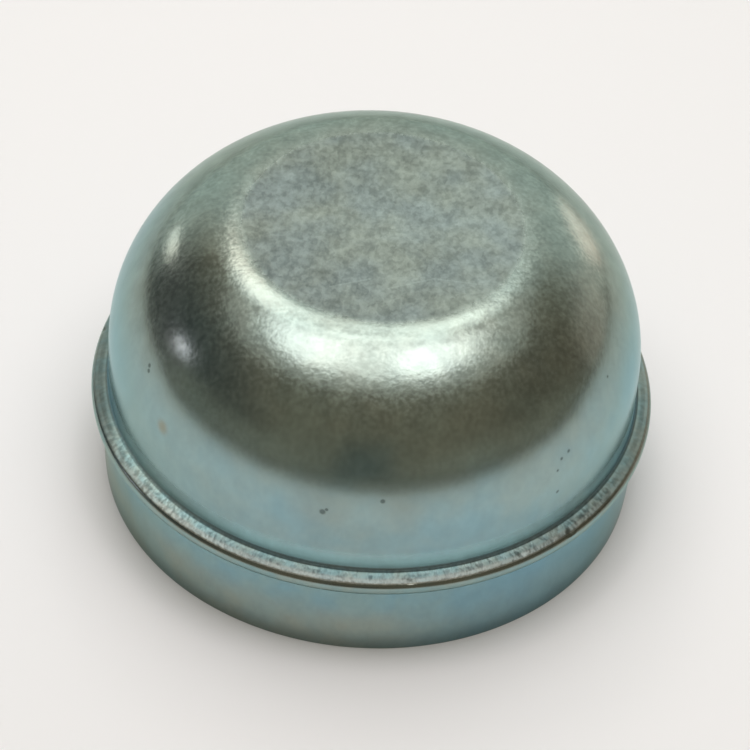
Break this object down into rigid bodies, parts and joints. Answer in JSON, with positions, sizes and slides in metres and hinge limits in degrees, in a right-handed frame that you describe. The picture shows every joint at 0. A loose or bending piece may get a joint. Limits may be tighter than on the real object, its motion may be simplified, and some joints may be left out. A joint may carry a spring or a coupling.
{
  "type": "hub grease cap",
  "caption": "Round drawn sheet-steel cap with a flat crown on a domed shoulder, a folded stop bead and a press-in skirt; closes the outer end of a wheel hub and holds its grease in.",
  "frame": {"origin": "centre of the open rim's plane, on the cap's axis", "axes": "+Z along the cap's axis, from the open rim up to the crown; X and Y are any two square directions"},
  "size_m": [0.0528, 0.0528, 0.0293],
  "materials": {
    "zinc_plated_steel": "zinc electroplate with a thin blue-clear passivation: satin on the drawn wall, matt on the crown"
  },
  "bodies": {
    "root": {"grease_cap": "zinc_plated_steel"}
  },
  "joints": []
}
